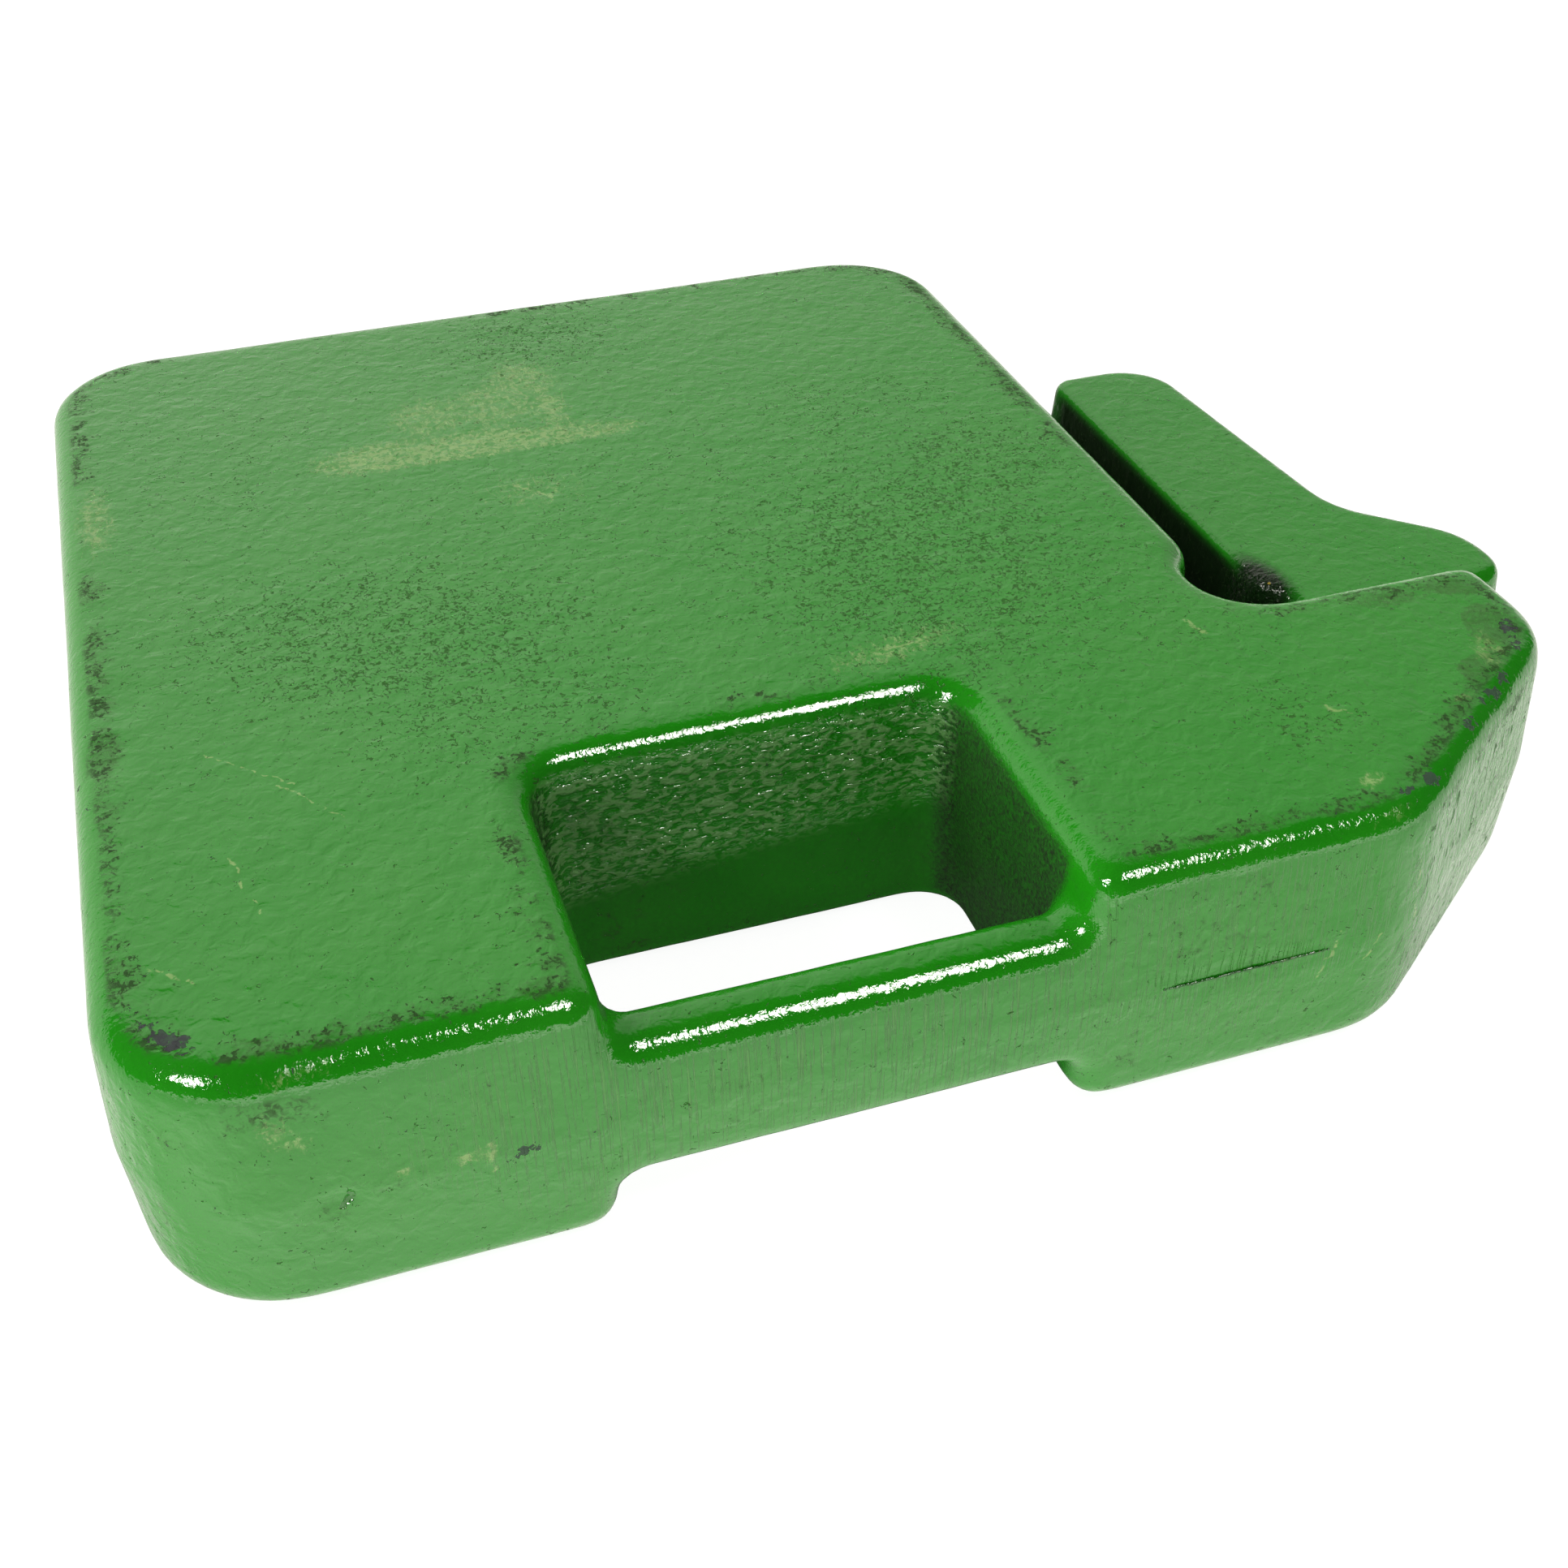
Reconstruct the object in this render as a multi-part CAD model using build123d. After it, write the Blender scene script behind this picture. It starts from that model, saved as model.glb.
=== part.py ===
from build123d import *
import os
from math import cos, radians, sin, sqrt, tan

# Tractor suitcase weight: one iron casting, lying flat on one of its two broad faces.
# Plan sizes are taken on the parting plane, half way up the thickness.
# X runs along the handle edge, Y from the handle to the back, Z through the thickness.

# Slab
thickness = 50.8
body_width = 215.3          # left face to the slot
body_depth = 252.3          # handle face to back face
corner_radius = 25.4
slab_draft = 3.0            # degrees, on both sides of the parting plane
edge_radius = 5.5           # rounding of every slab edge

# Nose that reaches past the slot, with its cut-off corner
nose_overhang = 48.5        # slot face of the slab to the end of the nose
chamfer_run = 53.2          # length of the cut-off corner along the handle face
chamfer_angle = 37.3        # degrees to the handle face
nose_radius = 21.8
nose_back_radius = 3.6

# Slot that drops over the weight bracket's bar, with a round relief at its closed end
slot_width = 14.0
slot_floor = 69.2           # handle face to the bottom of the relief
relief_radius = 11.6
relief_lip_radius = 5.0

# Hand window and handle bar
window_left = 74.9          # left face to the window
window_width = 75.4
window_back = 59.6          # handle face to the window's far wall
window_radius = 6.5
bar_depth = 13.3
bar_recess = 11.2           # the bar is this much lower than the broad faces
bar_foot_radius = 4.6

# Hook arm, thinner than the slab and centred on the parting plane
hook_thickness = 25.4
hook_draft = 6.0
hook_edge_radius = 3.0
arm_length = 122.8          # bottom of the relief to the arm's tip
arm_tip_width = 28.6
arm_neck_width = 34.3
arm_tip_radius = 15.0       # outer corner of the tip
arm_lip_radius = 5.0        # corner of the tip beside the slot
neck_radius = 18.0
heel_overhang = 19.9        # the heel stands this far outside the neck
heel_gap = 7.0              # back of the nose to the heel
heel_width = 18.9           # heel's end, from its front to where it slopes to the neck
heel_slope = 45.0           # degrees to the arm
heel_radius = 8.7
shoulder_radius = 18.0
root_inset = 7.0            # the hook's root stops this far inside the nose's end

# Derived places on the parting plane
half = thickness / 2
hook_half = hook_thickness / 2
bar_half = half - bar_recess
nose_reach = body_width + nose_overhang
chamfer_start = nose_reach - chamfer_run
chamfer_end = chamfer_run * tan(radians(chamfer_angle))
relief_x = body_width + slot_width / 2
relief_y = slot_floor + relief_radius
relief_top = relief_y + sqrt(relief_radius ** 2 - (slot_width / 2) ** 2)
arm_inner = body_width + slot_width
arm_end = slot_floor + arm_length
neck_x = arm_inner + arm_neck_width
heel_reach = neck_x + heel_overhang
heel_front = slot_floor + heel_gap
heel_shoulder = heel_front + heel_width
neck_y = heel_shoulder + heel_overhang / tan(radians(heel_slope))
root_radius = heel_gap / 2  # inner corner between the heel and the nose
weld_radius = heel_gap / 3  # rounding where the hook grows out of the nose
slab_lean = tan(radians(slab_draft))
sink = 2 * edge_radius      # how deep joined solids reach into each other
near = 0.01                 # how close an edge must keep to a wall to count as lying on it


def rounded(face, corners):
    """Round the corners of a plan outline, each with its own radius."""
    for x, y, radius in corners:
        corner = face.vertices().sort_by_distance(Vector(x, y, 0))[0]
        face = fillet(corner, radius)
    return face


def slab_outline():
    """Slab with its nose, and its side of the round relief at the end of the slot."""
    runs = Polyline(
        (body_width, relief_top),
        (body_width, body_depth),
        (0, body_depth),
        (0, 0),
        (chamfer_start, 0),
        (nose_reach, chamfer_end),
        (nose_reach, slot_floor),
        (relief_x, slot_floor),
    )
    relief = ThreePointArc(
        (body_width, relief_top),
        (relief_x - relief_radius, relief_y),
        (relief_x, slot_floor),
    )
    face = make_face(runs.edges() + relief.edges())
    return rounded(face, [
        (nose_reach, slot_floor, nose_back_radius),
        (nose_reach, chamfer_end, nose_radius),
        (chamfer_start, 0, corner_radius),
        (0, 0, corner_radius),
        (0, body_depth, corner_radius),
        (body_width, body_depth, corner_radius),
        (body_width, relief_top, relief_lip_radius),
    ])


def hook_outline():
    """Hook with arm, heel and its side of the relief. Its root reaches into the nose."""
    root_x = nose_reach - root_inset
    last = radians(-60)         # the relief is left along its tangent here
    leave = (relief_x + relief_radius * cos(last), relief_y + relief_radius * sin(last))
    inside_y = slot_floor - sink
    inside_x = leave[0] + (leave[1] - inside_y) / tan(last + radians(90)) * -1
    runs = Polyline(
        leave,
        (inside_x, inside_y),
        (root_x, inside_y),
        (root_x, heel_front),
        (heel_reach, heel_front),
        (heel_reach, heel_shoulder),
        (neck_x, neck_y),
        (arm_inner + arm_tip_width, arm_end),
        (arm_inner, arm_end),
        (arm_inner, relief_top),
    )
    relief = ThreePointArc((arm_inner, relief_top), (relief_x + relief_radius, relief_y), leave)
    face = make_face(runs.edges() + relief.edges())
    return rounded(face, [
        (root_x, heel_front, root_radius),
        (heel_reach, heel_front, heel_radius),
        (heel_reach, heel_shoulder, shoulder_radius),
        (neck_x, neck_y, neck_radius),
        (arm_inner + arm_tip_width, arm_end, arm_tip_radius),
        (arm_inner, arm_end, arm_lip_radius),
        (arm_inner, relief_top, relief_lip_radius),
    ])


def drafted(face, height, angle):
    """Raise a plan outline from the parting plane, with its walls leaning inwards by the angle."""
    block = extrude(face, height)
    walls = block.faces().filter_by(lambda wall: abs(wall.normal_at().Z) < 0.5)
    return draft(walls, Plane.XY, angle)


def lies_on(edge, gap):
    """True if the gap to a wall, given for a point, is nothing all along the edge."""
    return all(abs(gap(edge.position_at(t))) < near for t in (0, 0.5, 1))


def outer_edges(face):
    """Edges round the outside of a face."""
    return face.outer_wire().edges()


def top_of(solid):
    """The highest level face of a half casting."""
    return solid.faces().filter_by(Axis.Z).sort_by(Axis.Z)[-1]


def slab_half():
    """Upper half of the slab: window, handle bar and rounded edges."""
    window_right = window_left + window_width
    slab = drafted(slab_outline(), half, slab_draft)

    # The window is cut open to the handle face, then the bar closes it again.
    notch_face = make_face(Polyline(
        (window_left, -sink),
        (window_right, -sink),
        (window_right, window_back),
        (window_left, window_back),
        close=True,
    ))
    notch_face = rounded(notch_face, [
        (window_left, window_back, window_radius),
        (window_right, window_back, window_radius),
    ])
    bar_face = make_face(Polyline(
        (window_left - sink, 0),
        (window_right + sink, 0),
        (window_right + sink, bar_depth),
        (window_left - sink, bar_depth),
        close=True,
    ))
    slab -= drafted(notch_face, half, -slab_draft)
    slab += drafted(bar_face, bar_half, slab_draft)

    def on_front(edge):
        return lies_on(edge, lambda p: p.Y - p.Z * slab_lean)

    def on_side_wall(edge):
        left = lies_on(edge, lambda p: p.X - (window_left - p.Z * slab_lean))
        right = lies_on(edge, lambda p: p.X - (window_right + p.Z * slab_lean))
        return left or right

    # Rounded back of the bar
    bar_back = bar_depth - bar_half * slab_lean
    back_edge = slab.edges().filter_by(Axis.X).sort_by_distance(
        Vector((window_left + window_right) / 2, bar_back, bar_half))[0]
    slab = fillet(back_edge, edge_radius)

    # Foot of the bar, where it runs into the window's side walls
    foot = slab.edges().filter_by(
        lambda e: on_side_wall(e) and near < e.center().Z < bar_half + near and not on_front(e))
    slab = fillet(foot, bar_foot_radius)

    # Outer edges, with the dip of the handle face over the bar
    reach = window_width / 2 + half * slab_lean + near
    middle = (window_left + window_right) / 2
    dip = slab.edges().filter_by(
        lambda e: on_front(e) and e.center().Z > near and abs(e.center().X - middle) < reach
        and e.center().Z < half - near)
    return fillet(outer_edges(top_of(slab)) + dip, edge_radius)


def hook_half_solid():
    """Upper half of the hook, with its rim rounded."""
    hook = drafted(hook_outline(), hook_half, hook_draft)
    return fillet(outer_edges(top_of(hook)), hook_edge_radius)


def upper_half():
    """Slab and hook in one, rounded where the hook grows out of the nose."""
    upper = slab_half() + hook_half_solid()
    weld = upper.edges().filter_by(
        lambda e: lies_on(e, lambda p: p.Y - (slot_floor - p.Z * slab_lean))
        and e.center().X > relief_x + near
        and near < e.bounding_box().max.Z < hook_half + near)
    return fillet(weld, weld_radius)


def casting():
    """The whole weight, standing on the bottom centre of its box."""
    upper = upper_half()
    whole = upper + mirror(upper, Plane.XY)
    return Pos(-heel_reach / 2, -body_depth / 2, half) * whole


os.makedirs("parts", exist_ok=True)
weight = casting()
export_step(weight, "parts/suitcase_weight.step")
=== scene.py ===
import math
import bmesh
import bpy
import numpy
from mathutils import Matrix, Vector


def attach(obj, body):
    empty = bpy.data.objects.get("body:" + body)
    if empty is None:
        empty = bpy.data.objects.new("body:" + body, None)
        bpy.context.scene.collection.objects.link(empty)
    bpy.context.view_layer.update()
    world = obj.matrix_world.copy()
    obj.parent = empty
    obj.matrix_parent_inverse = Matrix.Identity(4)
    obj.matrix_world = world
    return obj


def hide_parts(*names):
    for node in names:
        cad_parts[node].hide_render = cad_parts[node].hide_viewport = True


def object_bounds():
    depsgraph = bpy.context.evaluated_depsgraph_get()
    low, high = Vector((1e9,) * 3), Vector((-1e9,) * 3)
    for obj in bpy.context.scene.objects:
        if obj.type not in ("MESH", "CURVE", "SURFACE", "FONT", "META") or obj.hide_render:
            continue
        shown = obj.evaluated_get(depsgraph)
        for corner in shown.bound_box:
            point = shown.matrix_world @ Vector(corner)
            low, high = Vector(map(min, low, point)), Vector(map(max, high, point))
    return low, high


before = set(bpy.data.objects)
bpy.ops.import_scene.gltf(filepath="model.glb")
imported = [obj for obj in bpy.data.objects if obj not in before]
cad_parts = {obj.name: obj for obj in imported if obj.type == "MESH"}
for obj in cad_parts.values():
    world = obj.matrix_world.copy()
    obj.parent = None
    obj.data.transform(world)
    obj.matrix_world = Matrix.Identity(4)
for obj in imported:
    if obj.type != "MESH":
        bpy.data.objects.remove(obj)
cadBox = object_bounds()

mm = 0.001
boxLow = [round(c / mm, 3) for c in cadBox[0]]
boxHigh = [round(c / mm, 3) for c in cadBox[1]]
print("frame loaded, CAD box in mm", boxLow, boxHigh)


class Wire:                     # one output socket: expressions on it add nodes to its tree
    def __init__(self, tree, socket=None):
        self.tree = tree
        self.socket = socket

    def node(self, kind, settings=None, sockets=None, out=0):
        made = self.tree.nodes.new(kind)
        for name, value in (settings or {}).items():
            setattr(made, name, value)
        for key, value in (sockets or {}).items():
            if isinstance(value, Wire):
                self.tree.links.new(value.socket, made.inputs[key])
            else:
                made.inputs[key].default_value = value
        return Wire(self.tree, made.outputs[out] if len(made.outputs) else None)

    def math(self, operation, *others):
        terms = dict(enumerate((self, *others)))
        return self.node("ShaderNodeMath", {"operation": operation}, terms)

    def vector(self, operation, other, out=0):
        return self.node("ShaderNodeVectorMath", {"operation": operation}, {0: self, 1: other}, out)

    def times(self, factor):    # a vector by a number
        return self.node("ShaderNodeVectorMath", {"operation": "SCALE"}, {0: self, "Scale": factor})

    def axis(self, which):      # 0, 1 or 2 of a vector
        return self.node("ShaderNodeSeparateXYZ", None, {0: self}, which)

    def ramp(self, low, high, start=0.0, end=1.0):      # soft step between two values
        ends = {"Value": self, "From Min": low, "From Max": high, "To Min": start, "To Max": end}
        return self.node("ShaderNodeMapRange", {"interpolation_type": "SMOOTHSTEP"}, ends)

    def tint(self, amount, colour):     # this colour, with another laid over it
        sockets = {0: amount, 6: self, 7: colour}
        return self.node("ShaderNodeMix", {"data_type": "RGBA"}, sockets, 2)

    def noise(self, scale, detail=2.0, roughness=0.5, distortion=0.0, out=0):
        sockets = {"Vector": self, "Scale": scale, "Detail": detail,
                   "Roughness": roughness, "Distortion": distortion}
        return self.node("ShaderNodeTexNoise", None, sockets, out)

    def __add__(self, other):
        return self.math("ADD", other)

    __radd__ = __add__

    def __sub__(self, other):
        return self.math("SUBTRACT", other)

    def __rsub__(self, other):
        return self.node("ShaderNodeMath", {"operation": "SUBTRACT"}, {0: other, 1: self})

    def __mul__(self, other):
        return self.math("MULTIPLY", other)

    __rmul__ = __mul__

    def __truediv__(self, other):
        return self.math("DIVIDE", other)

    def __pow__(self, other):
        return self.math("POWER", other)

    def __or__(self, other):    # the stronger of two masks
        return self.math("MAXIMUM", other)


def newMaterial(name):
    material = bpy.data.materials.new(name)
    material.use_nodes = True
    material.node_tree.nodes.clear()
    return material, Wire(material.node_tree)


def joinedCopy(source, name):           # the CAD mesh as one closed skin
    shell = bmesh.new()
    shell.from_mesh(source.data)
    bmesh.ops.remove_doubles(shell, verts=shell.verts, dist=1e-6)
    mesh = bpy.data.meshes.new(name)
    shell.to_mesh(mesh)
    shell.free()
    copy = bpy.data.objects.new(name, mesh)
    bpy.context.scene.collection.objects.link(copy)
    return copy


def applyModifiers(piece):              # what the modifiers give becomes the plain mesh
    depsgraph = bpy.context.evaluated_depsgraph_get()
    mesh = bpy.data.meshes.new_from_object(piece.evaluated_get(depsgraph))
    piece.modifiers.clear()
    old = piece.data
    piece.data = mesh
    bpy.data.meshes.remove(old)


def newTree(name, kinds):               # a geometry tree, with its inputs by name
    tree = bpy.data.node_groups.new(name, "GeometryNodeTree")
    tree.interface.new_socket("Geometry", in_out="INPUT", socket_type="NodeSocketGeometry")
    for key, kind in kinds.items():
        tree.interface.new_socket(key, in_out="INPUT", socket_type="NodeSocket" + kind)
    tree.interface.new_socket("Geometry", in_out="OUTPUT", socket_type="NodeSocketGeometry")
    source = tree.nodes.new("NodeGroupInput")
    return tree, Wire(tree), {s.name: Wire(tree, s) for s in source.outputs}


def endTree(wire, geometry, paint):
    smooth = wire.node("GeometryNodeSetShadeSmooth", None, {0: geometry})
    whole = wire.node("GeometryNodeRealizeInstances", None, {"Geometry": smooth})
    painted = wire.node("GeometryNodeSetMaterial", None, {"Geometry": whole, "Material": paint})
    wire.node("NodeGroupOutput", None, {0: painted})


def runTree(piece, tree, values):
    run = piece.modifiers.new(tree.name, "NODES")
    run.node_group = tree
    for item in tree.interface.items_tree:
        if item.in_out == "INPUT" and item.name in values:
            run[item.identifier] = values[item.name]
    applyModifiers(piece)


# green enamel
enamel = {
    "green": (0.0105, 0.228, 0.0045, 1.0),
    "greenWorn": (0.022, 0.250, 0.010, 1.0),
    # grey dirt and painted shade for the window's inner faces
    "grimeAndShade": (0.015, 0.024, 0.012, 1.0),
    "scuff": (0.036, 0.115, 0.019, 1.0),
    "dirt": (0.013, 0.042, 0.007, 1.0),
    "speck": (0.026, 0.068, 0.011, 1.0),
    # painted shade: near-black colour for the deep slot and the dark patch at its closed end
    "paintedSlotShade": (0.004, 0.009, 0.003, 1.0),
    "rub": (0.235, 0.40, 0.115, 1.0),
    # painted glints: pale green flecks for the back face of the window
    "paintedGlint": (0.16, 0.38, 0.115, 1.0),
    "yellow": (0.50, 0.36, 0.03, 1.0),
    "bare": (0.046, 0.036, 0.060, 1.0),
    "flatGloss": 0.14,          # roughness of the broad faces
    "bendGloss": 0.075,         # and of the rounded edges
}


scratches = [                   # mm: start, end, half width
    ((-132.2, -95.1, 50.6), (-124.6, -101.8, 50.6), 0.26),
    ((-117.0, -74.4, 50.6), (-113.4, -89.2, 50.6), 0.20),
    ((-118.4, -44.5, 50.6), (-104.7, -57.9, 50.6), 0.22),
    ((-107.6, -56.9, 50.6), (-98.3, -69.5, 50.6), 0.22),
    ((57.6, -60.8, 50.6), (59.2, -66.0, 50.6), 0.45),
    ((67.6, -94.2, 50.6), (70.0, -97.2, 50.6), 0.50),
    ((-114.5, -126.0, 22.2), (-109.6, -126.0, 22.3), 0.22),
    ((-49.0, 31.5, 50.6), (-42.5, 24.5, 50.6), 0.55),
    ((-2.0, -53.2, 50.6), (10.0, -50.6, 50.6), 0.45),
    ((55.6, -126.0, 28.4), (52.7, -125.85, 19.5), 0.30),
    ((63.5, -125.9, 26.1), (61.6, -125.87, 20.5), 0.30),
    ((70.2, -123.5, 37.9), (71.4, -123.6, 25.6), 0.32),
]
spots = [((86.9, -31.1, 36.8), 1.0), ((91.0, -36.3, 37.9), 0.6), ((88.3, -29.4, 37.6), 0.5)]
dings = [((-110.2, -126.0, 22.7), (-108.8, -126.0, 25.0), 0.55)]


relief = {                      # mm, each kind of unevenness and mark
    "lumps": (0.34, 0.36), "beads": (0.07, 0.105), "grain": 0.055,
    "scars": 0.6, "dashes": 0.8, "pebbles": 0.7, "sand": 0.14,
    "speck": 0.10, "chip": 0.16, "rub": 0.03, "ground": 0.16, "pits": 0.2, "comb": 0.6, "ding": 0.35,
}
cover = {                       # how strongly each mark covers the green
    "age": 0.4, "wall": 0.88, "paintedSlotShade": 0.97, "ground": 0.13, "scuff": 0.62, "rub": 0.85, "thread": 0.75,
    "speck": 0.64, "dirt": 0.75, "pits": 0.55, "ding": 0.4, "chip": 0.75,
}


def makeEnamel(style):
    material, tree = newMaterial("greenEnamel")
    place = tree.node("ShaderNodeTexCoord", out="Object").times(1 / mm)     # mm

    def field(name):
        return tree.node("ShaderNodeAttribute", {"attribute_name": name}, out="Fac")

    def threads(marks):         # thin marks, each along its own line
        total = 0.0
        for start, end, half in marks:
            along = Vector(end) - Vector(start)
            part = shaken.vector("SUBTRACT", start)
            part = part.vector("DOT_PRODUCT", along / along.length_squared, "Value")
            part = part.math("MAXIMUM", 0.0).math("MINIMUM", 1.0)
            nearest = tree.node("ShaderNodeCombineXYZ", None,
                                {i: part * along[i] + start[i] for i in range(3)})
            total = shaken.vector("DISTANCE", nearest, "Value").ramp(half * 1.5, half * 0.5) | total
        return total

    # noises, per mm
    coarse = place.noise(0.045, 3.0, 0.6)
    middle = place.noise(0.22, 4.0, 0.6, 0.6)
    grain = place.noise(0.75, 3.0, 0.6, 0.8)
    commas = place.noise(0.85, 2.0, 0.6, 1.4)
    wisps = place.vector("MULTIPLY", (1.2, 0.5, 1.0)).noise(0.50, 5.0, 0.75, 1.5)
    jitter = place.noise(0.35, out="Color").vector("SUBTRACT", (0.5, 0.5, 0.5))
    shaken = place.vector("ADD", jitter.times(3.0))
    wide, close = relief["lumps"]
    lumps = (place.noise(0.13, 2.0, 0.5, 0.3) - 0.5) * wide + (place.noise(0.32, 2.0, 0.5, 0.4) - 0.5) * close

    # wear along the rims of the broad faces
    bend, strength, rim = field("bend"), field("scuff"), field("rim") / mm
    presence = strength + (coarse - 0.5) * 0.9 + (middle - 0.5) * 1.0 + (grain - 0.5) * 0.8
    presence = presence.ramp(0.15, 0.75) * (1.0 - bend)
    reach = 2.2 + strength * 3.0 + (strength - 1.0).math("MAXIMUM", 0.0) * 26.0
    reach = reach + (middle - 0.5) * 14.0 + (grain - 0.5) * 7.0
    broken = (grain + (commas - 0.5) * 0.6).ramp(0.36, 0.62, 0.45, 1.0)
    scuff = presence * (reach - rim).ramp(0.0, 5.0) * broken
    dirt = 1.0 + (middle - 0.5) * 2.4 + (grain - 0.5) * 2.6 + (commas - 0.5) * 2.4 - rim * 0.13
    dirt = presence * dirt.ramp(1.0, 1.12)

    # marks found anywhere
    speck = (field("speck") * 0.135 + commas + (middle - 0.5) * 0.25).ramp(0.68, 0.75)
    rub = (field("rub") + (wisps - 0.5) * 2.2).ramp(0.35, 1.0) * grain.ramp(0.38, 0.60, 0.12, 1.0)
    chip = (field("chip") + (grain - 0.5) * 2.4 + (middle - 0.5) * 1.4).ramp(0.64, 0.74)
    thread = threads(scratches) * grain.ramp(0.38, 0.52)
    sunk = speck * relief["speck"] + chip * relief["chip"] + rub * relief["rub"]
    green = tree.node("ShaderNodeRGB")
    green.socket.default_value = style["green"]
    green = green.tint(coarse.ramp(0.35, 0.7) * cover["age"], style["greenWorn"])

    def coat(height, colour, gloss, grey, bare):        # glossy paint, and dry where it is worn
        bump = tree.node("ShaderNodeBump", None, {"Strength": 1.0, "Distance": mm, "Height": height})
        colour = colour.tint(scuff * cover["scuff"], style["scuff"])
        colour = colour.tint((rub * cover["rub"]) | (thread * cover["thread"]), style["rub"])
        colour = colour.tint(speck * cover["speck"], style["speck"])
        colour = colour.tint(grey, style["dirt"])
        for mark, name in bare:
            colour = colour.tint(mark, style[name])
        gloss = gloss + (scuff | rub) * 0.22 + (chip | speck) * 0.3
        fresh = tree.node("ShaderNodeBsdfPrincipled", None, {
            "Base Color": colour, "Roughness": gloss, "Normal": bump, "IOR": 1.6})
        dry = tree.node("ShaderNodeBsdfPrincipled", None, {
            "Base Color": colour, "Roughness": 0.6, "Normal": bump, "IOR": 1.6, "Specular IOR Level": 0.09})
        return fresh, dry

    # broad faces, which have none of the marks below and are quicker without them
    chipped = (chip * cover["chip"], "bare")
    smudge = dirt * cover["dirt"]
    gloss = style["flatGloss"] + coarse.ramp(0.4, 0.7) * 0.05
    fresh, dry = coat(lumps + grain * relief["grain"] - sunk, green, gloss, smudge, [chipped])
    worn = ((dirt | speck | chip) * 0.85) | (scuff * 0.45)
    level = tree.node("ShaderNodeMixShader", None, {0: worn, 1: fresh, 2: dry})

    # all the rest: rounded edges, sides, window and slot
    flat, wall, slot, gleam, dullAndShade, pit = (field(n) for n in ("flat", "wall", "slot", "gleam", "dullAndShade", "pit"))
    wide, close = relief["beads"]
    beads = (place.noise(0.32, 1.0, 0.5) - 0.5) * wide + (place.noise(0.95, 2.0, 0.5) - 0.5) * close
    pebbles = place.noise(0.72, 2.0, 0.55, 0.3)
    dashes = place.vector("MULTIPLY", (0.6, 1.0, 1.3)).noise(0.80, 2.0, 0.5, 0.5)
    sand = place.noise(1.7, 2.0, 0.6)
    scars = place.vector("MULTIPLY", (1.0, 1.0, 0.45)).noise(0.48, 4.0, 0.6, 0.8)
    pits = pit * scars.ramp(0.60, 0.66)
    ding = threads(dings)
    dots = 0.0
    for centre, half in spots:
        dots = place.vector("DISTANCE", centre, "Value").ramp(half * 1.2, half * 0.8) | dots
    lines = place.vector("MULTIPLY", (1.9, 0.0, 0.045)).noise(1.0, 3.0, 0.7)
    ground = field("grind") * lines.ramp(0.52, 0.64)
    comb = field("comb") * (place.vector("MULTIPLY", (0.85, 0.0, 0.05)).noise(1.0, 2.0, 0.6) - 0.5)
    height = lumps * (1.0 - bend) + beads * bend + grain * relief["grain"] - sunk
    height = height + (scars - 0.5) * pit * relief["scars"] + (dashes - 0.5) * wall * relief["dashes"]
    height = height + (pebbles - 0.5) * gleam * relief["pebbles"] + (sand - 0.5) * dullAndShade * relief["sand"]
    height = height - ground * relief["ground"] - pits * relief["pits"]
    height = height - comb * relief["comb"] - ding * relief["ding"]
    # window's inner faces: grey dirt and painted shade, full on the side faces, weaker low on the others
    colour = green.tint(dullAndShade * (0.30 + sand.ramp(0.25, 0.75) * 0.8).math("MINIMUM", 1.0), style["grimeAndShade"])
    # painted glints on the back face of the window, in pale dashes
    colour = colour.tint(wall * dashes.ramp(0.45, 0.58) * cover["wall"], style["paintedGlint"])
    # painted shade in the slot
    colour = colour.tint(slot * cover["paintedSlotShade"], style["paintedSlotShade"])
    colour = colour.tint(ground * cover["ground"], style["rub"])
    gloss = style["bendGloss"] + (flat * (style["flatGloss"] - style["bendGloss"]))
    gloss = gloss + coarse.ramp(0.4, 0.7) * flat * 0.05 + dullAndShade * 0.25 - (wall | gleam) * 0.05
    grey = smudge | (pits * cover["pits"]) | (ding * cover["ding"])
    fresh, dry = coat(height, colour, gloss, grey, [(dots, "yellow"), chipped])
    # the slot's painted shade also takes the dry coat, which hardly reflects
    inSlot = slot * (1.0 - gleam)
    worn = ((dirt | speck | pits | chip) * 0.85) | (scuff * 0.45) | inSlot | (gleam * 0.45)
    rest = tree.node("ShaderNodeMixShader", None, {0: worn, 1: fresh, 2: dry})

    shader = tree.node("ShaderNodeMixShader", None, {0: field("broad"), 1: rest, 2: level})
    tree.node("ShaderNodeOutputMaterial", None, {"Surface": shader})
    return material


enamelPaint = makeEnamel(enamel)
print("paint ready")


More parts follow.
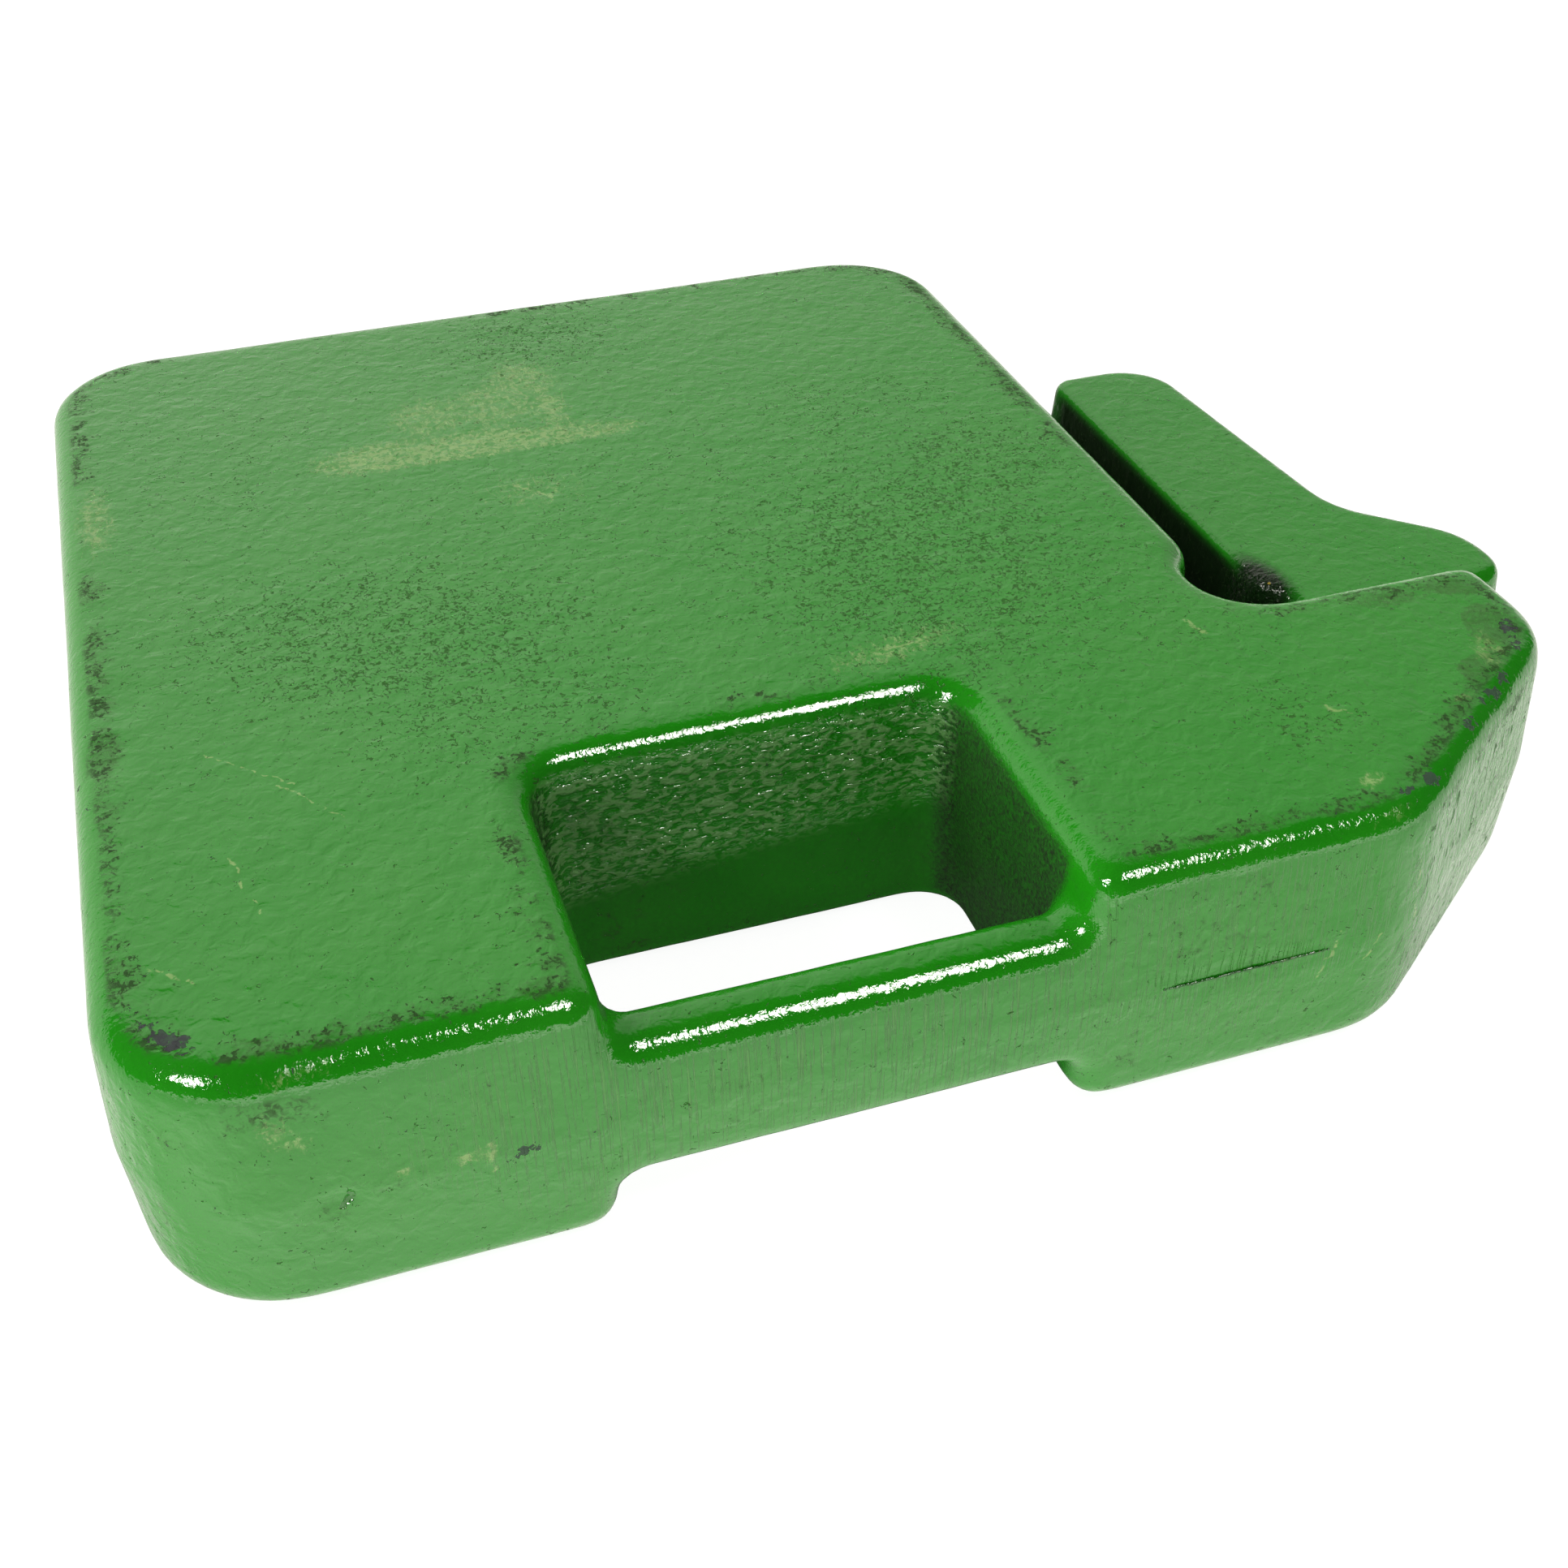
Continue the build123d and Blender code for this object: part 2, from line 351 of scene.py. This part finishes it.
# wear marks, in mm: centre, half length, half width, turn in degrees, strength
topMarks = {
    "scuff": [
        (-131.5, 104, 5, 9, 0, 0.8), (-131.5, 86, 4.5, 12, 0, 0.75), (-131.5, 68, 4.5, 9, 0, 0.8),
        (-134, 18, 3.5, 5, 0, 1.0), (-133, -8, 4, 12, 0, 0.95), (-130, -23, 5, 7, 0, 1.0),
        (-133.5, -38, 4, 9, 0, 1.05),
        (-133.5, -53, 4, 8, 0, 0.8), (-134, -72, 3.5, 9, 0, 0.5), (-134.5, -97, 3.5, 9, 10, 0.8),
        (-129, -109, 7, 4.5, -45, 1.0), (-117, -118, 6, 3, -8, 1.05), (-105, -118.5, 9, 2.6, 2, 1.0),
        (-90, -117.8, 9, 2.8, 0, 0.85), (-77, -116.5, 6, 4.5, 0, 1.0), (-77, -104, 4, 9, 0, 0.8),
        (-76, -88, 3.4, 8, 0, 0.6),
        (-72, -62, 6, 6, 0, 0.6), (-56, -56, 9, 3, 5, 0.5), (-20, -57, 12, 3, 0, 0.5),
        (-122, 114, 9, 5, 30, 0.75), (-31, 112, 13, 10, 0, 0.85), (-8, 117, 12, 4, 0, 0.6),
        (25, 118, 18, 3.4, 0, 0.5),
        (56, 114, 10, 5, -35, 0.9), (66, 100, 4.5, 11, 8, 0.95), (67, 76, 4, 13, 0, 0.9),
        (65, 44, 4, 16, 0, 0.75),
        (64, 15, 3.5, 12, 0, 0.55), (62, -18, 4, 10, 0, 0.5),
        (18, -84, 2.8, 9, 6, 0.75), (20, -100, 3.2, 9, 4, 1.0), (21, -115, 4.5, 5, 0, 1.0),
        (39, -118, 9, 2.6, 0, 0.8), (58, -119, 8, 2.6, 0, 0.6),
        (79, -66, 9, 3, 0, 0.7), (97, -68, 12, 4.5, -5, 1.1), (110, -67.5, 7, 4, -25, 1.2),
        (109, -80, 7, 9, -15, 1.25), (111, -84, 3.5, 7, -20, 1.1), (101, -94, 8, 7, -45, 1.3),
        (90, -104, 9, 4.2, 37, 1.2), (77, -114, 8, 4, 37, 1.1),
    ],
    "speck": [
        (-80, -18, 36, 24, -15, 1.0), (-66, -48, 26, 13, 10, 0.8), (20, -22, 34, 42, -12, 1.0),
        (44, 8, 20, 22, 0, 0.95), (30, 38, 22, 20, 0, 0.6),
        (-20, 10, 50, 40, 0, 0.35), (-31, 100, 22, 18, 0, 0.8), (60, -60, 20, 12, 0, 0.4),
        (-110, 60, 20, 30, 0, 0.3),
        (62, -95, 10, 10, 0, 0.7),
    ],
    "rub": [
        (-73, 53, 14, 7, 0, 0.95), (-54, 52, 16, 7, 0, 1.0), (-37, 51, 14, 5, 0, 0.9),
        (-25, 50, 9, 3.5, 0, 0.75),
        (-60, 68, 10, 9, 0, 0.72), (-46, 70, 12, 12, 0, 0.68), (-37, 80, 8, 12, 0, 0.72),
        (-34, 64, 4, 9, 0, 0.85),
        (-46, 28, 11, 9, -20, 0.50), (4, -52, 15, 4.5, 14, 0.6), (-132.5, 45, 3.6, 15, 0, 0.7),
        (104.2, -88, 2.6, 5.5, -20, 0.72), (91.5, -99.3, 2.6, 1.0, 10, 0.7), (63.4, -115, 3, 1.6, 20, 0.85),
        (-112, -123.2, 7, 1.0, 3, 0.5), (64, -122.5, 5, 1.1, 15, 0.5),
    ],
    "chip": [
        (112.4, -82.5, 1.3, 3.4, -20, 0.95), (110.2, -87.2, 1.1, 1.8, -20, 0.9),
        (102.6, -95.0, 1.7, 0.9, 20, 0.95), (98.2, -98.6, 2.0, 1.1, 30, 0.95),
        (94.2, -100.5, 1.8, 0.8, -40, 0.9), (88.5, -105.7, 2.2, 1.2, 35, 0.85),
        (73.7, -116.5, 2.6, 1.3, 35, 1.0), (67.7, -118.8, 2.0, 1.0, 25, 0.9),
        (-133.9, -104.9, 1.4, 1.4, 0, 0.7), (-131.8, -108.1, 2.2, 1.4, -45, 0.8),
        (-128.3, -112.6, 4.2, 1.5, -48, 0.95),
    ],
}
frontMarks = {
    "rub": [
        (-117.5, 40.5, 3.0, 2.6, -40, 0.55), (-116, 37.4, 3.4, 1.6, -20, 0.78),
        (-91.6, 26.7, 1.6, 0.9, 0, 1.1), (-88, 26.4, 1.0, 1.8, 0, 1.2),
        (-100.7, 26.9, 1.4, 0.9, 0, 1.0), (-87.5, 22.5, 0.9, 0.8, 0, 0.9),
    ],
    "chip": [
        (-115.2, 41.6, 1.2, 0.8, 20, 0.8), (-83.6, 25.7, 0.7, 1.5, 0, 0.9),
        (-81.3, 25.1, 0.8, 2.0, 0, 0.95), (-109.0, 23.8, 0.5, 0.9, 0, 0.8),
    ],
    "scuff": [(-117, 44, 7, 4, -20, 0.5)],
    "grind": [
        (-66, 33, 24, 20, 0, 0.9), (-20, 33, 36, 20, 0, 1.0), (28, 33, 26, 18, 0, 0.7),
        (52, 34, 12, 14, 0, 0.5), (-90, 33, 12, 14, 0, 0.4),
    ],
}


def ellipses(u, v, marks):
    total = numpy.zeros(len(u))
    for cu, cv, along, across, turn, strength in marks:
        c, s = math.cos(math.radians(turn)), math.sin(math.radians(turn))
        du, dv = u - cu, v - cv
        far = numpy.hypot((du * c + dv * s) / along, (dv * c - du * s) / across)
        total = numpy.maximum(total, strength * numpy.clip(1.6 - far, 0, 1))
    return total


def step(values, low, high):
    return numpy.clip((values - low) / (high - low), 0, 1)


def layFields(mesh):            # where the paint is worn, smooth or dull, and where shade and glints are painted, stored on the points
    count = len(mesh.vertices)
    points = numpy.empty(count * 3)
    mesh.vertices.foreach_get("co", points)
    x, y, z = points.reshape(-1, 3).T / mm
    facing = numpy.empty(count * 3)
    mesh.vertices.foreach_get("normal", facing)
    nx, ny, nz = facing.reshape(-1, 3).T
    level = numpy.abs(nz)
    onTop = step(z, 43.0, 47.0)
    onFront = step(-ny, 0.4, 0.75) * step(-y, 112.0, 120.0)
    inWindow = step(x, -71.0, -69.5) * step(-x, -12.5, -11.0)
    inWindow *= step(-y, 64.0, 64.5) * step(y, -114.5, -113.5)
    upright = step(level, 0.5, 0.2)
    # the slot's sides, where shade is painted
    inSlot = step(x, 71.0, 72.5) * step(-x, -91.5, -90.0)
    inSlot *= step(y, -59.0, -57.5) * step(y, 66.0, 56.0) * upright
    inSlot *= numpy.where((nx > 0.3) & (y > -30.0), 0.3, 1.0)      # painted shade is weaker on the slab's side, from y -30 mm back, than on the hook's
    slotEnd = step(numpy.hypot((x - 89.5) / 6.0, (y + 36.0) / 12.0), 1.15, 0.6)
    slotEnd *= step(z, 20.0, 26.0) * step(-z, -40.0, -39.0)
    onCut = step(nx * 0.606 - ny * 0.795, 0.86, 0.95) * step(x, 66.0, 74.0) * upright
    onEnd = step(nx, 0.8, 0.95) * step(x, 118.0, 120.0)
    combed = step(x, 12.0, 16.0) * step(-x, -62.0, -58.0) * step(z, 20.8, 21.8) * step(-z, -26.0, -24.6)
    # grey dirt and painted shade in the window: full on its side faces, weakly on the lower part of the others
    grimyAndShaded = numpy.maximum(0.22 * step(z, 27.0, 21.0), step(numpy.abs(nx), 0.4, 0.8))
    plain = (level > 0.992) & (slotEnd == 0.0) & (inSlot == 0.0)
    fields = {
        "broad": plain.astype(float),
        "bend": step(level, 0.99, 0.95) * step(level, 0.10, 0.25),
        "flat": step(level, 0.95, 0.99) + 0.45 * step(level, 0.25, 0.10),
        # upper part of the window's back face, with painted glints and raised lumps
        "wall": inWindow * upright * step(z - (x + 66.0) * 0.11, 17.0, 24.0) * step(-ny, 0.3, 0.8),
        "gleam": slotEnd,
        "slot": numpy.maximum(inSlot, slotEnd),
        "dullAndShade": inWindow * upright * grimyAndShaded,
        "pit": onCut + onEnd,
        "comb": combed * onFront,
    }
    for name in ("scuff", "speck", "rub", "chip", "grind"):
        top = ellipses(x, y, topMarks.get(name, [])) * onTop
        front = ellipses(x, z, frontMarks.get(name, [])) * onFront
        fields[name] = numpy.maximum(top, front)
    fields["grind"] *= upright
    fields["chip"] = numpy.maximum(fields["chip"], 0.75 * inWindow * step(z, 2.6, 1.4) * step(-ny, 0.1, 0.3))
    aside = upright * step(y, -118.0, -105.0) * (1.0 - inWindow)
    fields["speck"] = numpy.maximum(fields["speck"], 0.42 * aside)
    under = step(z, 6.0, 2.0)
    fields["scuff"] = numpy.maximum(fields["scuff"], 0.6 * under)
    fields["speck"] = numpy.maximum(fields["speck"], 0.6 * under)
    rubbed = (x > -95) & (x < -15) & (y > 38) & (z > 46)
    fields["rub"] *= numpy.where(rubbed, step(y, 45.2, 46.6), 1.0)      # the large rub ends on a line
    for name, values in fields.items():
        stored = mesh.attributes.new(name, "FLOAT", "POINT")
        stored.data.foreach_set("value", values.astype(numpy.float32))


# the casting
casting = {
    "voxel": 1.4 * mm,
    "easing": 6,                # smoothing rounds, so the mesh runs evenly over the rounded edges
    "rimFrom": (14.6, 18.6),    # mm from the parting plane, where the slab's rims start
    "rimEasing": 14,            # further rounds there: sand and paint soften these rims
    "swellSize": 26.0,          # per metre
    "swellDepth": 0.30 * mm,    # slow unevenness of a sand casting
    "skinSize": 150.0,
    "skinDepth": 0.10 * mm,
    "seamHeight": 0.15 * mm,    # ridge along the parting line
    "seamHalf": 1.2 * mm,
}
dents = [                       # mm: centre, reach along each axis, depth
    ((38, -126, 25.4), (24, 9, 4.5), 0.40),
    ((-110.5, -126, 24.6), (5.5, 8, 2.6), 0.55),
    ((-115, -126, 40), (8, 8, 7), 0.30),
    ((-129, -111, 51), (6, 6, 5), 0.20),
    ((99, -100, 51), (7, 7, 5), 0.45),
    ((112, -84, 51), (5, 6, 5), 0.40),
    ((74, -116, 51), (6, 5, 5), 0.40),
    ((-131, -22, 51), (6, 11, 4), 0.35),
    ((-134, -40, 51), (5, 9, 5), 0.40),
    ((66, 100, 51), (5, 10, 5), 0.35),
]


def castSkinTree():
    names = ("swellSize", "swellDepth", "skinSize", "skinDepth", "seamHeight", "seamHalf")
    tree, wire, given = newTree("castSkin", {**dict.fromkeys(names, "Float"), "paint": "Material"})
    place = wire.node("GeometryNodeInputPosition")
    normal = wire.node("GeometryNodeInputNormal")

    # distance from the rounded edges, read by the paint
    tilt = normal.axis(2).math("ABSOLUTE")
    edges = wire.node("GeometryNodeSeparateGeometry", {"domain": "FACE"},
                      {"Geometry": given["Geometry"], "Selection": tilt.math("LESS_THAN", 0.985)})
    rim = wire.node("GeometryNodeProximity", {"target_element": "FACES"}, {0: edges}, "Distance")
    stored = wire.node("GeometryNodeStoreNamedAttribute", {"data_type": "FLOAT", "domain": "POINT"},
                       {"Geometry": given["Geometry"], "Name": "rim", "Value": rim})

    swell = place.noise(given["swellSize"], 2.0, 0.5)
    skin = place.noise(given["skinSize"], 2.0, 0.5)
    sunk = (swell * given["swellDepth"] + skin * given["skinDepth"]) * -1.0
    level = (place.axis(2) - 0.5 * (boxHigh[2] * mm)).math("ABSOLUTE")
    onSeam = 1.0 - (level / given["seamHalf"]).math("MINIMUM", 1.0)
    broken = place.noise(45.0, 2.0, 0.6).ramp(0.45, 0.62)
    ridge = onSeam * broken * given["seamHeight"]
    for centre, reach, depth in dents:
        near = place.times(1 / mm).vector("SUBTRACT", centre).vector("DIVIDE", reach)
        sunk = sunk - near.vector("LENGTH", (0, 0, 0), "Value").ramp(1.0, 0.2) * (depth * mm)
    moved = wire.node("GeometryNodeSetPosition", None,
                      {"Geometry": stored, "Offset": normal.times(sunk + ridge)})
    endTree(wire, moved, given["paint"])
    return tree


def makeCasting(sizes):
    piece = joinedCopy(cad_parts["suitcase_weight"], "castWeight")
    remesh = piece.modifiers.new("even", "REMESH")
    remesh.mode = "VOXEL"
    remesh.voxel_size = sizes["voxel"]
    remesh.use_smooth_shade = True
    ease = piece.modifiers.new("ease", "SMOOTH")
    ease.iterations = sizes["easing"]
    back = piece.modifiers.new("back", "SHRINKWRAP")        # back on the CAD surface
    back.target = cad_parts["suitcase_weight"]
    applyModifiers(piece)
    points = numpy.empty(len(piece.data.vertices) * 3)
    piece.data.vertices.foreach_get("co", points)
    depth = numpy.abs(points[2::3] / mm - boxHigh[2] / 2)
    tenths = numpy.round(step(depth, *sizes["rimFrom"]) * 10)
    rims = piece.vertex_groups.new(name="rims")
    for tenth in range(1, 11):
        rims.add(numpy.nonzero(tenths == tenth)[0].tolist(), tenth / 10, "REPLACE")
    soften = piece.modifiers.new("soften", "SMOOTH")
    soften.iterations = sizes["rimEasing"]
    soften.vertex_group = "rims"
    applyModifiers(piece)
    runTree(piece, castSkinTree(), {**sizes, "paint": enamelPaint})
    layFields(piece.data)
    return piece


castWeight = makeCasting(casting)
castWeight.data.calc_loop_triangles()
print("casting", len(castWeight.data.loop_triangles), "triangles")
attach(castWeight, "root")
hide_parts("suitcase_weight")


# paint beads standing on the parting line of the handle face
flash = {
    "start": Vector((23.3, -125.78, 25.35)) * mm,
    "end": Vector((53.4, -125.78, 25.45)) * mm,
    "thick": 0.26 * mm,
    "bead": 0.40 * mm,
    "beads": 36,
    "seed": 11,
    "green": (0.008, 0.13, 0.004, 1.0),
    "deep": (0.003, 0.05, 0.002, 1.0),
    "rust": (0.060, 0.022, 0.016, 1.0),
}


def flashTree():
    tree, wire, given = newTree("partingFlash", {
        "start": "Vector", "end": "Vector", "thick": "Float", "bead": "Float",
        "beads": "Int", "seed": "Int", "paint": "Material"})
    place = wire.node("GeometryNodeInputPosition")
    line = wire.node("GeometryNodeCurvePrimitiveLine", None, {"Start": given["start"], "End": given["end"]})
    line = wire.node("GeometryNodeResampleCurve", None, {"Curve": line, "Count": 150})
    sway = (place.noise(180.0, 2.0, 0.5) - 0.5) * 0.0006
    line = wire.node("GeometryNodeSetPosition", None, {
        "Geometry": line, "Offset": wire.node("ShaderNodeCombineXYZ", None, {"Z": sway})})
    along = wire.node("GeometryNodeSplineParameter", out="Factor")
    taper = (along * (1.0 - along) * 14.0).math("MINIMUM", 1.0)
    girth = taper * (0.45 + place.noise(700.0, 1.0, 0.5) * 0.9)
    ring = wire.node("GeometryNodeCurvePrimitiveCircle", None, {"Resolution": 8, "Radius": given["thick"]})
    line = wire.node("GeometryNodeSetCurveRadius", None, {"Curve": line, "Radius": girth})
    fin = wire.node("GeometryNodeCurveToMesh", None, {
        "Curve": line, "Profile Curve": ring, "Fill Caps": True, "Scale": girth})
    spots = wire.node("GeometryNodeResampleCurve", None, {"Curve": line, "Count": given["beads"]})
    spots = wire.node("GeometryNodeCurveToPoints", {"mode": "EVALUATED"}, {"Curve": spots})
    ball = wire.node("GeometryNodeMeshIcoSphere", None, {"Radius": given["bead"], "Subdivisions": 2})
    scale = wire.node("FunctionNodeRandomValue", {"data_type": "FLOAT"},
                      {2: 0.35, 3: 0.85, "Seed": given["seed"]}, 1)
    beads = wire.node("GeometryNodeInstanceOnPoints", None, {"Points": spots, "Instance": ball, "Scale": scale})
    both = tree.nodes.new("GeometryNodeJoinGeometry")
    tree.links.new(fin.socket, both.inputs[0])
    tree.links.new(beads.socket, both.inputs[0])
    endTree(wire, Wire(tree, both.outputs[0]), given["paint"])
    return tree


def makeFlash(sizes):
    material, tree = newMaterial("wetEnamel")
    place = tree.node("ShaderNodeTexCoord", out="Object").times(1 / mm)
    blotch, fine = place.noise(0.55, 3.0, 0.6), place.noise(2.4, 2.0, 0.5)
    colour = tree.node("ShaderNodeRGB")
    colour.socket.default_value = sizes["green"]
    colour = colour.tint(fine.ramp(0.40, 0.62) * 0.7, sizes["deep"])
    colour = colour.tint(blotch.ramp(0.60, 0.66) * 0.8, sizes["rust"])
    gloss = 0.05 + fine * 0.06 + blotch.ramp(0.60, 0.66) * 0.3
    bump = tree.node("ShaderNodeBump", None, {"Strength": 0.6, "Distance": mm, "Height": fine * 0.12})
    shader = tree.node("ShaderNodeBsdfPrincipled", None, {
        "Base Color": colour, "Roughness": gloss, "Normal": bump, "IOR": 1.6})
    tree.node("ShaderNodeOutputMaterial", None, {"Surface": shader})
    piece = bpy.data.objects.new("partingFlash", bpy.data.meshes.new("partingFlash"))
    bpy.context.scene.collection.objects.link(piece)
    runTree(piece, flashTree(), {**sizes, "paint": material})
    return piece


partingFlash = makeFlash(flash)
partingFlash.data.calc_loop_triangles()
print("flash", len(partingFlash.data.loop_triangles), "triangles")
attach(partingFlash, "root")


# floor, backdrop and lamps
stage = {
    "floorSize": 6.0,
    "seen": 0.935,              # floor's own white for the camera, the rest is light and shadow
    "seenAlbedo": 0.24,
    "glow": 1.40,               # what the floor gives back to the casting's matt side
    "mirrored": 0.72,           # and to its gloss, all round
    "mirroredFront": 1.45,      # in front of the handle
    "mirroredFar": 1.5,         # and more of it further off
    "mirroredLeft": 0.95,       # left of the casting
    "mirroredRight": 1.05,      # beside the cut-off corner
    "shade": 0.06,              # under the casting and in its window
    "hollow": 0.34,             # what little light the floor gives back there
    "corner": 25.4,             # mm, the casting's outline on the floor
    "cut": (68.85, -126.15),    # where its cut-off corner starts
    "cutTurn": (0.606, -0.795),
    "white": (1.0, 0.985, 0.90, 1.0),
}


def makeFloor(sizes):
    shell = bmesh.new()
    bmesh.ops.create_grid(shell, x_segments=8, y_segments=8, size=sizes["floorSize"] / 2)
    mesh = bpy.data.meshes.new("floor")
    shell.to_mesh(mesh)
    shell.free()
    floor = bpy.data.objects.new("floor", mesh)
    bpy.context.scene.collection.objects.link(floor)
    material, tree = newMaterial("paleFloor")
    place = tree.node("ShaderNodeTexCoord", out="Object").times(1 / mm)
    x, y = place.axis(0), place.axis(1)
    outX = (x.math("ABSOLUTE") - (boxHigh[0] - sizes["corner"])).math("MAXIMUM", 0.0)
    outY = (y.math("ABSOLUTE") - (boxHigh[1] - sizes["corner"])).math("MAXIMUM", 0.0)
    beside = (outX * outX + outY * outY) ** 0.5 - sizes["corner"]
    cut = (x - sizes["cut"][0]) * sizes["cutTurn"][0] + (y - sizes["cut"][1]) * sizes["cutTurn"][1]
    clear = (beside | cut).ramp(-12.0, -2.0, sizes["shade"], 1.0)
    ahead = y.ramp(boxLow[1] + 10.0, boxLow[1] - 10.0) * x.ramp(200.0, -60.0) * x.ramp(-260.0, -120.0)
    mirrored = clear * (ahead * (sizes["mirroredFront"] - sizes["mirrored"]) + sizes["mirrored"])
    mirrored = mirrored + y.ramp(-260.0, -420.0) * sizes["mirroredFar"]
    mirrored = mirrored + clear * x.ramp(85.0, 115.0) * (sizes["mirroredRight"] - sizes["mirrored"])
    mirrored = mirrored + x.ramp(-142.0, -165.0) * (sizes["mirroredLeft"] - sizes["mirrored"])
    camera = tree.node("ShaderNodeLightPath", out="Is Camera Ray")
    glossy = tree.node("ShaderNodeLightPath", out="Is Glossy Ray")
    own = tree.node("ShaderNodeEmission", None, {"Color": (1, 1, 1, 1), "Strength": sizes["seen"]})
    soft = sizes["seenAlbedo"]
    lit = tree.node("ShaderNodeBsdfDiffuse", None, {"Color": (soft, soft, soft, 1)})
    seen = tree.node("ShaderNodeAddShader", None, {0: own, 1: lit})
    level = glossy * mirrored + (1.0 - glossy) * (clear * sizes["glow"] + sizes["hollow"])
    other = tree.node("ShaderNodeEmission", None, {"Color": sizes["white"], "Strength": level})
    shader = tree.node("ShaderNodeMixShader", None, {0: camera, 1: other, 2: seen})
    tree.node("ShaderNodeOutputMaterial", None, {"Surface": shader})
    floor.data.materials.append(material)
    return floor


sky = {
    "ambient": 0.10,            # dim room
    "soft": 1.86,               # white backdrop as soft light
    "card": 0.92,               # and in reflections, where it starts
    "cardFar": 0.47,            # and far round to the right
    "dark": 0.03,               # the room in reflections
    "white": (1.0, 0.985, 0.90, 1.0),
    "cardTop": (0.80, 0.92),    # sine of the height where the backdrop ends
    "cardLeft": 0.38,           # radians left of straight back where its left end is, at a height of 0.7
    "cardLean": 1.5,            # and that end leans outwards below
    "cardRight": 1.12,          # radians right of straight back where its right end is
    "lights": [                 # softboxes as the gloss sees them: half width and half height as sines
        {"side": (1, 0, 0), "middle": 0.266, "up": (0, 0.888, 0.460), "ahead": (0, -0.460, 0.888),
         "full": 0.10, "half": 0.18, "tall": 0.17, "level": 26.0},
        {"side": (0.457, -0.889, 0), "middle": 0.0, "up": (0.596, 0.306, 0.742), "ahead": (-0.660, -0.339, 0.670),
         "full": 0.11, "half": 0.15, "tall": 0.13, "level": 26.0},
    ],
}


def makeSky(sizes):
    world = bpy.data.worlds.new("studio")
    world.use_nodes = True
    world.node_tree.nodes.clear()
    bpy.context.scene.world = world
    tree = Wire(world.node_tree)
    heading = tree.node("ShaderNodeTexCoord", out="Generated")
    x, y, z = (heading.axis(i) for i in range(3))
    turn = x.math("ARCTAN2", y)
    below = z.ramp(sizes["cardTop"][1], sizes["cardTop"][0])
    inside = turn + sizes["cardLeft"] + (0.7 - z) * sizes["cardLean"]
    card = below * inside.ramp(-0.05, 0.05) * (sizes["cardRight"] - turn).ramp(-0.12, 0.12)
    mirrored = card * turn.ramp(-0.1, 0.75, sizes["card"], sizes["cardFar"]) + sizes["dark"]
    for spot in sizes["lights"]:
        across = (heading.vector("DOT_PRODUCT", spot["side"], "Value") - spot["middle"]).math("ABSOLUTE")
        up = (heading.vector("DOT_PRODUCT", spot["up"], "Value")).math("ABSOLUTE")
        ahead = heading.vector("DOT_PRODUCT", spot["ahead"], "Value").ramp(0.0, 0.1)
        height = across.ramp(spot["half"], spot["full"]) ** 4.0 * spot["tall"] + 0.004
        shape = (up / height).ramp(1.1, 0.9) * across.ramp(spot["half"], spot["half"] - 0.02)
        mirrored = mirrored + shape * ahead * spot["level"]
    aside = x.ramp(-0.3, -0.8) * z.ramp(0.5, 0.1) * 0.8
    soft = below * (y.ramp(-0.4, 0.1) | aside) * (1.0 - 0.42 * x) * sizes["soft"] + sizes["ambient"]
    camera = tree.node("ShaderNodeLightPath", out="Is Camera Ray")
    glossy = tree.node("ShaderNodeLightPath", out="Is Glossy Ray")
    other = glossy * mirrored + (1.0 - glossy) * soft
    strength = camera * 1.12 + (1.0 - camera) * other
    back = tree.node("ShaderNodeBackground", None, {"Color": sizes["white"], "Strength": strength})
    tree.node("ShaderNodeOutputWorld", None, {"Surface": back})


lamps = [
    {"name": "stripLamp", "place": (0.23, -0.57, 0.92), "aim": (0.0, -0.10, 0.05),
     "length": 0.24, "height": 0.12, "power": 1.5},
    {"name": "sideLamp", "place": (-0.80, -0.52, 0.66), "aim": (-0.10, -0.10, 0.05),
     "length": 0.16, "height": 0.10, "power": 1.6},
]


def makeLamp(sizes):
    data = bpy.data.lights.new(sizes["name"], "AREA")
    data.shape = "RECTANGLE"
    data.size = sizes["length"]
    data.size_y = sizes["height"]
    data.energy = sizes["power"]
    strip = bpy.data.objects.new(sizes["name"], data)
    bpy.context.scene.collection.objects.link(strip)
    strip.location = sizes["place"]
    toward = Vector(sizes["aim"]) - Vector(sizes["place"])
    strip.rotation_euler = toward.to_track_quat("-Z", "Y").to_euler()


makeFloor(stage)
makeSky(sky)
for sizes in lamps:
    makeLamp(sizes)
print("stage and light ready")


# camera
view = {
    "place": (-0.104487, -0.325225, 0.242342),
    "right": (0.950081, -0.311744, -0.012702),
    "up": (0.198106, 0.571302, 0.796473),
    "back": (-0.241038, -0.759230, 0.604541),
    "lens": 44.197,
}


def makeCamera(sizes):
    data = bpy.data.cameras.new("camera")
    data.lens = sizes["lens"]
    data.sensor_width = 36.0
    data.clip_start = 0.01
    data.clip_end = 50.0
    camera = bpy.data.objects.new("camera", data)
    bpy.context.scene.collection.objects.link(camera)
    axes = Matrix((sizes["right"], sizes["up"], sizes["back"])).transposed()
    camera.matrix_world = Matrix.Translation(sizes["place"]) @ axes.to_4x4()
    bpy.context.scene.camera = camera


makeCamera(view)
bpy.context.scene.view_settings.view_transform = "Standard"
print("camera ready")
